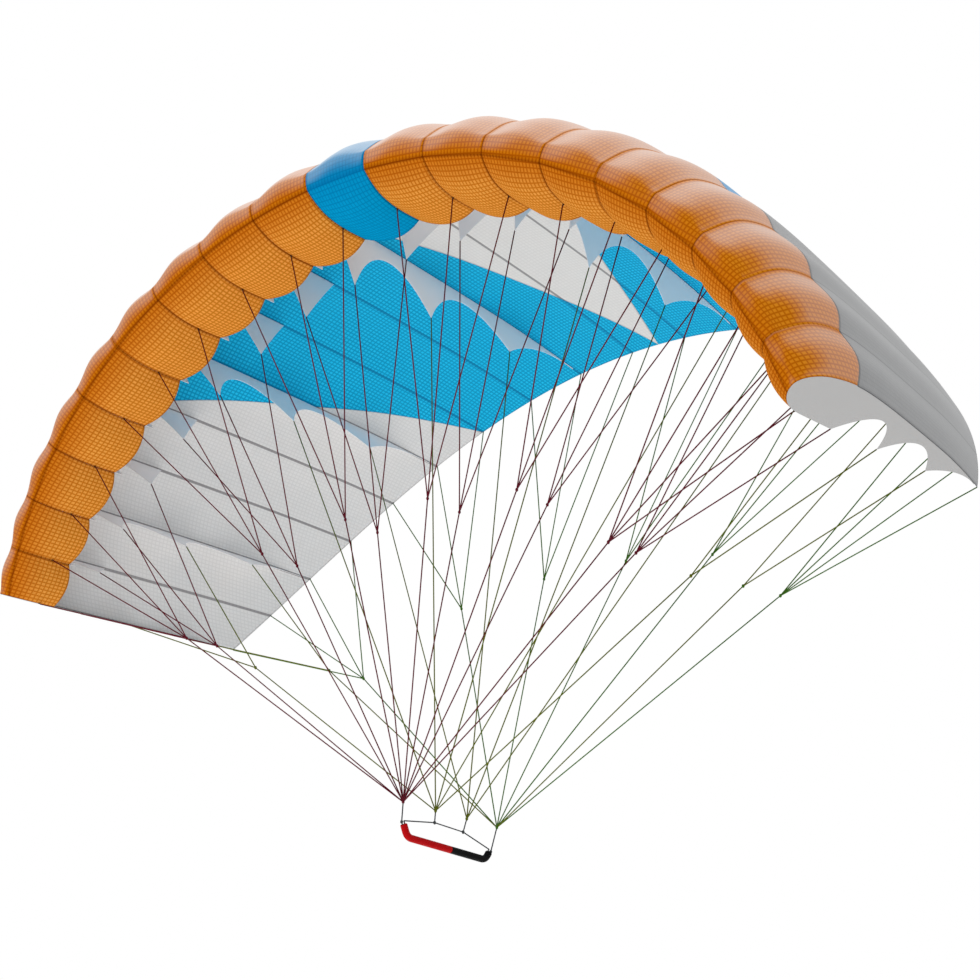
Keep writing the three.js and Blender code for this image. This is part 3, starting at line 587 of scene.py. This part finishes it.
SKIN_BLOCKS = [  # node, its ends along the span, its front and rear borders, its finishes and its slot
    ("skin_tip_left", -tip_edge, -tip_inner, OUTER_BORDER, None, [tip_top, tip_under], "tip_cloth"),
    ("skin_blue_left", BORDER_TIP - outer_start, -BORDER_TIP, INNER_BORDER, OUTER_BORDER,
     [blue_top, blue_under], "blue_cloth"),
    ("skin_centre", BORDER_TIP - inner_start, inner_start - BORDER_TIP, None, INNER_BORDER,
     [pale_top, pale_under], "pale_cloth"),
    ("skin_blue_right", BORDER_TIP, outer_start - BORDER_TIP, INNER_BORDER, OUTER_BORDER,
     [blue_top, blue_under], "blue_cloth"),
    ("skin_tip_right", tip_inner, tip_edge, OUTER_BORDER, None, [tip_top, tip_under], "tip_cloth"),
]
cell_shares = np.linspace(0, 1, TOP_COLUMNS, endpoint=False)
cell_steps = (ribs[:-1, None] + np.diff(ribs)[:, None] * cell_shares).ravel()
for node, low, high, front_border, rear_border, finishes, slot in SKIN_BLOCKS:
    inside = cell_steps[(cell_steps > low + BORDER_TIP) & (cell_steps < high - BORDER_TIP)]
    across = np.r_[low, inside, high]
    seam = BLOCK_GAP / (chord(across) * outline_length)
    start = share_at(front_edge(across, front_border), True) + seam
    rear = rear_edge(across, rear_border)
    end = np.where(rear < 1, share_at(rear, True) - seam, 1.0)
    shares = start[:, None] + (end - start)[:, None] * np.linspace(0, 1, TOP_ROWS + 1)
    spans = np.broadcast_to(across[:, None], shares.shape)
    block = skin(spans, shares)
    run = shares * outline_length * chord(spans)
    nearest = np.abs(across[:, None] - ribs).min(axis=1)
    slant = np.cos(np.arctan2(np.gradient(run[:, -1]), np.gradient(across)))[:, None]
    block_marks = {
        "to_rib": np.broadcast_to(nearest[:, None], shares.shape).copy(),
        "to_edge": np.minimum((run[:, -1:] - run) * slant, (run - run[:, :1]) * slant),
    }
    mesh = grid_mesh(node, block, np.stack([spans, run], axis=-1), block_marks)
    piece = cloth_object(f"cloth_{node}", mesh, finishes, 1)
    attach(piece, "root")
    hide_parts(node)

# Ribs: flat pale cloth set on edge between the cells. Eight run the whole chord, with arches cut between the
# tabs that take the lines, and twelve stop behind the nose. A webbing loop for the front line is on each.
TABS = {"B": (0.270, -0.0190), "C": (0.4965, -0.0205), "D": (0.748, -0.0215)}  # chords back and up
ARCH_AB = ((0.205, 0.130), (0.241, 0.130))  # the two points that an arch is drawn towards
ARCH_BC = ((0.338, 0.104), (0.424, 0.104))
ARCH_CD = ((0.555, 0.077), (0.6435, 0.077))
ARCH_DE = ((0.800, 0.012), (0.880, 0.030))
RIB_END = (0.972, 0.0035)
SHORT_BACK = (0.322, 0.040)
SHORT_END = 0.392
FULL_RIBS = (0, 2, 5, 8, 11, 14, 17, 19)
A_HEEL = (0.1795, -0.0145)
A_BACK = 0.094
LOOP_LENGTH = 0.009
LOOP_WIDTH = 0.006
LOOP_TAPER = 0.6
LOOP_CLOTH = CLOTH * 1.2
RIB_TUCK = 0.004
RIB_UNDER = 0.0016
RIB_LOWER_POINTS, RIB_NOSE_POINTS, RIB_TOP_POINTS = 40, 60, 80
PLAIN_ROUGHNESS, WEBBING_ROUGHNESS = (0.55, 0.7), (0.6, 0.75)
PLAIN_GRAIN = (0.15, 0.0003)
PLAIN_GLOSS = 0.25


def curve(start, first, second, end, count=26):
    """Points of a cubic Bezier curve after its start, in even steps of its parameter."""
    t = np.linspace(0, 1, count + 1)[1:, None]
    start, first, second, end = (np.array(p) for p in (start, first, second, end))
    return (1 - t) ** 3 * start + 3 * (1 - t) ** 2 * t * first + 3 * (1 - t) * t ** 2 * second + t ** 3 * end


def rib_outline(index):
    """Closed outline of a rib in its own plane, back and up in metres: from the lip, round the nose inside
    the panels, back under the top skin, and home along the arches or the short back. Every rib but those at
    the tips has one more arch, between its B tab and a heel behind the lip."""
    s = ribs[index]
    c = chord(s)
    at_tip = index in (0, len(ribs) - 1)
    lip = float(share_at(LIP_BACK, False))
    end = float(share_at(RIB_END[0] if index in FULL_RIBS else SHORT_END, True))
    lower_shares = np.linspace(lip, nose_seam, RIB_LOWER_POINTS)
    nose_shares = np.linspace(nose_seam, crown_start, RIB_NOSE_POINTS)[1:]
    top_shares = np.linspace(crown_start, end, RIB_TOP_POINTS)[1:]
    nose = np.column_stack(section(s, np.r_[lower_shares, nose_shares], 0.0 if at_tip else -RIB_TUCK))
    top = np.column_stack(section(s, top_shares, -RIB_UNDER))
    if index in FULL_RIBS:
        under = np.vstack([
            [RIB_END],
            curve(RIB_END, ARCH_DE[1], ARCH_DE[0], TABS["D"]),
            curve(TABS["D"], ARCH_CD[1], ARCH_CD[0], TABS["C"]),
            curve(TABS["C"], ARCH_BC[1], ARCH_BC[0], TABS["B"]),
        ]) * c
    else:
        last, bend, tab = top[-1] / c, np.array(SHORT_BACK), np.array(TABS["B"])
        under = curve(last, last + (bend - last) * 2 / 3, tab + (bend - tab) * 2 / 3, tab) * c
    if not at_tip:
        under = np.vstack([under, curve(TABS["B"], ARCH_AB[1], ARCH_AB[0], A_HEEL) * c])
    return np.vstack([nose, top, under])


def slab(flat, s, thickness):
    """Vertices and faces of a flat outline in the rib's plane at s, thickened evenly on both sides of it."""
    middle = place(s, flat[:, 0], flat[:, 1])
    origin, backward, upward = place(s, np.array([0.0, 1.0, 0.0]), np.array([0.0, 0.0, 1.0]))
    aside = np.cross(backward - origin, upward - origin) * thickness / 2
    count = len(flat)
    low = list(range(count))
    high = [count + k for k in low]
    sides = [(low[k], low[(k + 1) % count], high[(k + 1) % count], high[k]) for k in range(count)]
    return np.vstack([middle - aside, middle + aside]), [low[::-1], high, *sides]


def plain_cloth(name, colour, fleck, roughness):
    """Plain close-woven cloth, with a faint cloud of two shades and of two roughnesses, and a fine grain."""
    material, tree, shader = new_material(name, PLAIN_GLOSS)
    spot = wire(tree, "ShaderNodeTexCoord").outputs["Object"]
    cloud = wire(tree, "ShaderNodeTexNoise", {"Vector": spot, "Scale": 9.0, "Detail": 3.0}).outputs["Fac"]
    tree.links.new(mixed(tree, cloud, linear(*colour), linear(*fleck)), shader.inputs["Base Color"])
    tree.links.new(ramp(tree, cloud, 0.2, 0.8, *roughness), shader.inputs["Roughness"])
    grain = wire(tree, "ShaderNodeTexNoise", {"Vector": spot, "Scale": 900.0, "Detail": 2.0})
    relief(tree, shader, grain.outputs["Fac"], *PLAIN_GRAIN)
    return material


rib_cloth = plain_cloth("rib_cloth", (250, 247, 247), (252, 249, 249), PLAIN_ROUGHNESS)
tip_rib_cloth = plain_cloth("tip_rib_cloth", (193, 192, 191), (196, 195, 194), PLAIN_ROUGHNESS)
loop_webbing = plain_cloth("loop_webbing", (70, 40, 30), (80, 48, 36), WEBBING_ROUGHNESS)

for index, s in enumerate(ribs):
    flat = rib_outline(index)
    vertices, faces = slab(flat, s, CLOTH)
    base = np.array(section(s, share_at(A_BACK, False), 0.0))
    foot = np.array(section(s, share_at(A_BACK, False), LOOP_LENGTH))
    down = (foot - base) / LOOP_LENGTH
    across = np.array([down[1], -down[0]]) * LOOP_WIDTH / 2
    loop = np.array([base - across, base + across, foot + across * LOOP_TAPER, foot - across * LOOP_TAPER])
    loop_vertices, loop_faces = slab(loop, s, LOOP_CLOTH)
    shift = len(vertices)
    mesh = bpy.data.meshes.new(f"rib_cloth_{index:02d}")
    mesh.from_pydata(np.vstack([vertices, loop_vertices]).tolist(), [],
                     faces + [[shift + k for k in face] for face in loop_faces])
    mesh.materials.append(rib_cloth if 0 < index < len(ribs) - 1 else tip_rib_cloth)
    mesh.materials.append(loop_webbing)
    mesh.polygons.foreach_set("material_index", [0] * len(faces) + [1] * len(loop_faces))
    piece = put(f"rib_cloth_{index:02d}", mesh)
    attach(piece, "root")
    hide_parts(f"rib_{index:02d}")

# Bridle: bare braided lines, spliced into cascades and drawn taut from the loops of the ribs and the
# trailing edge down to four knots over the bar. Front lines are red, middle ones olive, rear ones green.
LINE_RADIUS = 0.0018
LINE_SIDES = 8
KNOT_RADIUS = 0.0042
KNOT_STRETCH = 1.3  # height of a knot over its width
KNOT_RINGS, KNOT_SIDES = 6, 8
BRAID_PITCH = 0.004
BRAID_ROUGHNESS = (0.7, 0.55)
BRAID_GLOSS = 0.15
CASCADE = {  # outward, back and up from the nose of the centre cell, in centre cells
    "A": ((3.63, 0.96, -5.26), (2.22, 0.99, -4.31), (0.72, 1.03, -4.11)),
    "B": ((3.62, 1.53, -5.27), (2.19, 1.64, -4.35), (0.72, 1.66, -4.15)),
    "C": ((3.78, 2.45, -5.40),),
    "D": ((3.64, 3.83, -5.23),),
    "E": ((3.69, 4.63, -5.21), (2.26, 5.22, -4.26), (0.74, 5.29, -4.06)),
}
ALL_RIBS, TIP_RIBS = ((0, 1, 2, 3), (4, 5, 6), (7, 8, 9)), ((0, 2),)  # of each cascade, from the tip
RIB_GROUPS = {"A": ALL_RIBS, "B": ALL_RIBS, "C": TIP_RIBS, "D": TIP_RIBS, "E": ALL_RIBS}
STRAIGHT_RIBS = (5, 8)
WING_ORIGIN = np.array([0.0, -BAR_BACK, BAR_DROP])
KNOTS = {"front": (0.295, -1.690), "C": (0.429, -1.698), "D": (0.562, -1.704), "rear": (0.694, -1.713)}


def centre_point(flat):
    """Point in the middle plane of the wing, given back and up from the nose of the centre cell."""
    return np.array([0.0, *flat]) + WING_ORIGIN


def cascade_point(cells, side):
    """Knot of a cascade, given outward, back and up in centre cells from the nose of the centre cell."""
    return np.array([side * cells[0], cells[1], cells[2]]) * CELL_WIDTH + WING_ORIGIN


def tied_at(row, index):
    """Point of a rib that a row's line is tied to: the A loop, a tab, or the trailing edge over the rib."""
    s = ribs[index]
    if row == "A":
        return place(s, *section(s, share_at(A_BACK, False), LOOP_LENGTH))
    if row == "E":
        return place(s, chord(s), -CLOTH)
    return place(s, TABS[row][0] * chord(s), TABS[row][1] * chord(s))


def rib_of(index, side):
    """Number of a rib counted from the tip on one side."""
    return index if side < 0 else len(ribs) - 1 - index


def cascade_lines(row, knot):
    """Ends of one row's lines in cascades on both sides, and of the main lines from them to a knot."""
    ends = []
    for side in (-1, 1):
        for cells, group in zip(CASCADE[row], RIB_GROUPS[row]):
            node = cascade_point(cells, side)
            ends.append((node, knot))
            ends.extend((tied_at(row, rib_of(index, side)), node) for index in group)
    return ends


def straight_lines(row, knot):
    """Ends of the lines that run straight from an inner full rib to a knot."""
    return [(tied_at(row, rib_of(index, side)), knot) for side in (-1, 1) for index in STRAIGHT_RIBS]


def cascade_knots(row):
    """Knots of one row's cascades on both sides."""
    return [cascade_point(cells, side) for side in (-1, 1) for cells in CASCADE[row]]


def frames(axis):
    """Two unit vectors square to each unit axis and to each other."""
    helper = np.where(np.abs(axis[:, 2:]) > 0.9, (1.0, 0.0, 0.0), (0.0, 0.0, 1.0))
    first = np.cross(helper, axis)
    first /= np.linalg.norm(first, axis=1)[:, None]
    return first, np.cross(axis, first)


def line_arrays(ends, radius, sides):
    """Tubes between pairs of ends, each a circle carried along a straight axis, with closed caps. Returns
    vertices, faces and the length along the line at each vertex."""
    start, stop = (np.array(points) for points in zip(*ends))
    axis = stop - start
    length = np.linalg.norm(axis, axis=1)
    first, second = frames(axis / length[:, None])
    turn = np.linspace(0, 2 * np.pi, sides, endpoint=False)[None, :, None]
    ring = radius * (first[:, None] * np.cos(turn) + second[:, None] * np.sin(turn))
    vertices = np.stack([start[:, None] + ring, stop[:, None] + ring], axis=1).reshape(-1, 3)
    k = np.arange(sides)
    wall = np.stack([k, (k + 1) % sides, sides + (k + 1) % sides, sides + k], axis=1)
    walls = (wall[None] + 2 * sides * np.arange(len(ends))[:, None, None]).reshape(-1, 4).tolist()
    caps = [(2 * sides * n + cap).tolist() for n in range(len(ends)) for cap in (k[::-1], sides + k)]
    run = np.repeat(np.column_stack([np.zeros(len(ends)), length]), sides)
    return vertices, walls + caps, run


def knot_arrays(points, radius):
    """Small balls at the points, taller than wide: rings of a sphere, closed by a point at each pole.
    Returns vertices, faces and a length of 0 at each vertex."""
    sides = KNOT_SIDES
    height = np.linspace(0, np.pi, KNOT_RINGS + 1)[1:-1, None]
    turn = np.linspace(0, 2 * np.pi, sides, endpoint=False)
    rings = [np.sin(height) * np.cos(turn), np.sin(height) * np.sin(turn),
             KNOT_STRETCH * np.cos(height) * np.ones(sides)]
    ball = np.stack(rings, axis=-1).reshape(-1, 3)
    ball = np.vstack([[0, 0, KNOT_STRETCH], ball, [0, 0, -KNOT_STRETCH]]) * radius
    vertices = (np.array(points)[:, None] + ball).reshape(-1, 3)
    faces = []
    for k in range(sides):
        after = (k + 1) % sides
        faces.append((0, 1 + k, 1 + after))
        for ring in range(KNOT_RINGS - 2):
            upper, lower = 1 + ring * sides, 1 + (ring + 1) * sides
            faces.append((upper + k, lower + k, lower + after, upper + after))
        lowest = 1 + (KNOT_RINGS - 2) * sides
        faces.append((len(ball) - 1, lowest + after, lowest + k))
    faces = [[n * len(ball) + v for v in face] for n in range(len(points)) for face in faces]
    return vertices, faces, np.zeros(len(vertices))


def braid(name, colour, dark):
    """Braided line: fine bands of two close shades that follow each other along each line."""
    material, tree, shader = new_material(name, BRAID_GLOSS)
    turns = times(tree, mark(tree, "along"), 2 * math.pi / BRAID_PITCH)
    waves = wire(tree, "ShaderNodeMath", {0: turns}, operation="SINE").outputs["Value"]
    blend = ramp(tree, waves, -1.0, 1.0, 0.0, 1.0)
    tree.links.new(mixed(tree, blend, linear(*dark), linear(*colour)), shader.inputs["Base Color"])
    tree.links.new(ramp(tree, blend, 0.0, 1.0, *BRAID_ROUGHNESS), shader.inputs["Roughness"])
    return material


def line_piece(name, groups, knots, node):
    """One piece from groups of lines, each with its own finish, and their knots in the first finish."""
    shapes = [line_arrays(ends, LINE_RADIUS, LINE_SIDES) for ends, _ in groups]
    shapes.append(knot_arrays(knots, KNOT_RADIUS))
    vertices, faces, runs, finishes = [], [], [], []
    for number, (points, walls, run) in zip([*range(len(groups)), 0], shapes):
        shift = sum(len(v) for v in vertices)
        vertices.append(points)
        runs.append(run)
        faces.extend([shift + v for v in face] for face in walls)
        finishes.extend([number] * len(walls))
    mesh = bpy.data.meshes.new(name)
    for _, material in groups:
        mesh.materials.append(material)
    mesh.from_pydata(np.vstack(vertices).tolist(), [], faces)
    mesh.polygons.foreach_set("material_index", finishes)
    mesh.polygons.foreach_set("use_smooth", np.ones(len(faces), dtype=bool))
    mesh.attributes.new("along", "FLOAT", "POINT").data.foreach_set("value", np.concatenate(runs))
    piece = put(name, mesh)
    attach(piece, "root")
    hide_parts(node)


red_line = braid("red_line", (108, 8, 34), (80, 3, 24))
olive_line = braid("olive_line", (108, 116, 12), (82, 90, 6))
green_line = braid("green_line", (72, 122, 22), (50, 94, 12))
front_knot, c_knot, d_knot, rear_knot = (centre_point(KNOTS[key]) for key in ("front", "C", "D", "rear"))

line_piece("lines_front", [(cascade_lines("A", front_knot) + cascade_lines("B", front_knot), red_line)],
           [front_knot, *cascade_knots("A"), *cascade_knots("B")], "bridle_front")
line_piece("lines_c", [(cascade_lines("C", c_knot) + straight_lines("C", c_knot), olive_line)],
           [c_knot, *cascade_knots("C")], "bridle_c")
line_piece("lines_d", [(straight_lines("D", d_knot), olive_line)], [d_knot], "bridle_d")
line_piece("lines_rear",
           [(cascade_lines("E", rear_knot), green_line), (cascade_lines("D", rear_knot), olive_line)],
           [rear_knot, *cascade_knots("E"), *cascade_knots("D")], "bridle_rear")

# Bar: a bent tube in two halves of moulded foam grip, red in front and black behind, with both ends turned
# up. The halves butt together in the middle, and each tip is closed by a rounded cap.
BAR_RADIUS = 0.010
BAR_SIDES = 40
BAR_BEND = 0.017  # length of straight that each rounded bend takes up
BAR_ROUND = 0.003  # radius of the rounded rim of a tip
BAR_EASE = BAR_ROUND / 6  # how far the rim at the middle is drawn in
BAR_PATH = {  # back and up from the nose of the centre cell
    "front": {"tip": (0.297, -1.750), "bend": (0.312, -1.784)},
    "rear": {"tip": (0.657, -1.788), "bend": (0.640, -1.810)},
}
BAR_SPLIT = (0.489, -1.798)
BAR_JOINT = 0.00015
GRIP_POINTS, BEND_POINTS, END_POINTS, CAP_POINTS = 40, 25, 12, 6
SLIGHT = 1e-9
WELD = 1e-6
FOAM_ROUGHNESS = (0.6, 0.5)
FOAM_PORES = (0.3, 0.0004)
FOAM_GLOSS = 0.05


def bar_route(end):
    """Axis of one half of the bar, from the middle to its tip: a straight grip, a bend that follows a
    quadratic curve, and a straight end."""
    split, bend, tip = (np.array(p) for p in (BAR_SPLIT, BAR_PATH[end]["bend"], BAR_PATH[end]["tip"]))
    grip = (split - bend) / np.linalg.norm(split - bend)
    riser = (tip - bend) / np.linalg.norm(tip - bend)
    start = split - grip * BAR_JOINT
    turn_in, turn_out = bend + grip * BAR_BEND, bend + riser * BAR_BEND
    t = np.linspace(0, 1, BEND_POINTS)[:, None]
    straight = start + (turn_in - start) * np.linspace(0, 1, GRIP_POINTS, endpoint=False)[:, None]
    turn = (1 - t) ** 2 * turn_in + 2 * (1 - t) * t * bend + t ** 2 * turn_out
    rise = turn_out + (tip - turn_out) * np.linspace(0, 1, END_POINTS)[1:, None]
    return np.vstack([straight, turn, rise])


def bar_grid(end):
    """Skin of one half of the bar: a circle carried along its axis, drawn in a little at the middle of the
    bar and over a quarter round at the tip, and closed to a point in each end face."""
    route = bar_route(end)
    along = np.gradient(route, axis=0)
    along /= np.linalg.norm(along, axis=1)[:, None]
    tip, out = route[-1:], along[-1:]
    body = ((route - tip) @ out[0]) <= SLIGHT - BAR_ROUND
    quarter = np.linspace(0, np.pi / 2, CAP_POINTS + 1)[1:]
    cap = tip + out * BAR_ROUND * (np.sin(quarter) - 1)[:, None]
    axis = np.vstack([route[[0, 0]], route[body], cap, tip])
    along = np.vstack([along[[0, 0]], along[body], np.repeat(out, CAP_POINTS + 1, axis=0)])
    radius = np.r_[0.0, BAR_RADIUS - BAR_EASE, np.full(body.sum(), BAR_RADIUS),
                   BAR_RADIUS - BAR_ROUND * (1 - np.cos(quarter)), 0.0]
    turn = np.linspace(0, 2 * np.pi, BAR_SIDES, endpoint=False)
    across = np.column_stack([-along[:, 1], along[:, 0]])
    flat = axis[:, None] + radius[:, None, None] * np.cos(turn)[None, :, None] * across[:, None]
    side = radius[:, None] * np.sin(turn)
    return np.concatenate([side[..., None], flat], axis=-1) + WING_ORIGIN


def round_mesh(name, rings):
    """Mesh of rings of points, each joined to the next, with the end rings drawn together to a point."""
    count, sides = rings.shape[:2]
    index = np.arange(count * sides).reshape(count, sides)
    after = np.roll(index, -1, axis=1)
    quads = np.stack([index[:-1], after[:-1], after[1:], index[1:]], axis=-1).reshape(-1, 4)
    mesh = bpy.data.meshes.new(name)
    mesh.from_pydata(rings.reshape(-1, 3).tolist(), [], quads.tolist())
    tool = bmesh.new()
    tool.from_mesh(mesh)
    bmesh.ops.remove_doubles(tool, verts=tool.verts, dist=WELD)
    bmesh.ops.recalc_face_normals(tool, faces=tool.faces)
    tool.to_mesh(mesh)
    tool.free()
    mesh.polygons.foreach_set("use_smooth", np.ones(len(mesh.polygons), dtype=bool))
    return mesh


def foam_grip(name, colour, dark):
    """Moulded foam: one colour clouded with a slightly darker one, with fine pores in relief."""
    material, tree, shader = new_material(name, FOAM_GLOSS)
    spot = wire(tree, "ShaderNodeTexCoord").outputs["Object"]
    cloud = wire(tree, "ShaderNodeTexNoise", {"Vector": spot, "Scale": 60.0, "Detail": 4.0}).outputs["Fac"]
    tree.links.new(mixed(tree, cloud, linear(*dark), linear(*colour)), shader.inputs["Base Color"])
    pores = wire(tree, "ShaderNodeTexVoronoi", {"Vector": spot, "Scale": 700.0})
    relief(tree, shader, pores.outputs["Distance"], *FOAM_PORES)
    tree.links.new(ramp(tree, cloud, 0.3, 0.7, *FOAM_ROUGHNESS), shader.inputs["Roughness"])
    return material


red_grip = foam_grip("red_grip", (192, 8, 14), (168, 4, 9))
black_grip = foam_grip("black_grip", (18, 18, 19), (10, 10, 11))
for end, material, slot in (("front", red_grip, "red_grip"), ("rear", black_grip, "black_grip")):
    mesh = round_mesh(f"grip_{end}", bar_grid(end))
    mesh.materials.append(material)
    piece = put(f"grip_{end}", mesh)
    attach(piece, "root")
    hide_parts(f"bar_{end}")

# Bar line and pigtails: grey braided line that comes out of both tips of the bar. One runs from tip to tip
# with a leader up to the C and D knots, and a short one at either tip goes up to the front and rear knots.
LINE_SHIFT = 0.005  # how far off the axis of the bar a line leaves its tip
LINE_STUB = 0.008  # how far it stands out before it turns
LEADERS = {"C": (0.425, -1.731), "D": (0.546, -1.743)}
grey_line = braid("grey_line", (76, 80, 82), (50, 54, 56))


def tip_exit(end, shift, reach):
    """Point off the axis of a tip of the bar, by a shift towards the back, and out of the tip by a reach."""
    tip, bend = (np.array(BAR_PATH[end][key]) for key in ("tip", "bend"))
    out = (tip - bend) / np.linalg.norm(tip - bend)
    return centre_point(tip + out * reach + np.array([out[1], -out[0]]) * shift)


front_turn = tip_exit("front", LINE_SHIFT, LINE_STUB)
rear_turn = tip_exit("rear", -LINE_SHIFT, LINE_STUB)
c_foot, d_foot = centre_point(LEADERS["C"]), centre_point(LEADERS["D"])
bar_ends = [
    (tip_exit("front", LINE_SHIFT, 0.0), front_turn), (front_turn, c_foot), (c_foot, d_foot),
    (d_foot, rear_turn), (rear_turn, tip_exit("rear", -LINE_SHIFT, 0.0)),
    (c_foot, c_knot), (d_foot, d_knot),
]
line_piece("line_of_bar", [(bar_ends, grey_line)], [c_foot, d_foot], "bar_line")
for end, shift, knot in (("front", -LINE_SHIFT, front_knot), ("rear", LINE_SHIFT, rear_knot)):
    turn = tip_exit(end, shift, LINE_STUB)
    line_piece(f"pigtail_{end}", [([(tip_exit(end, shift, 0.0), turn), (turn, knot)], grey_line)], [turn],
               f"{end}_pigtail")
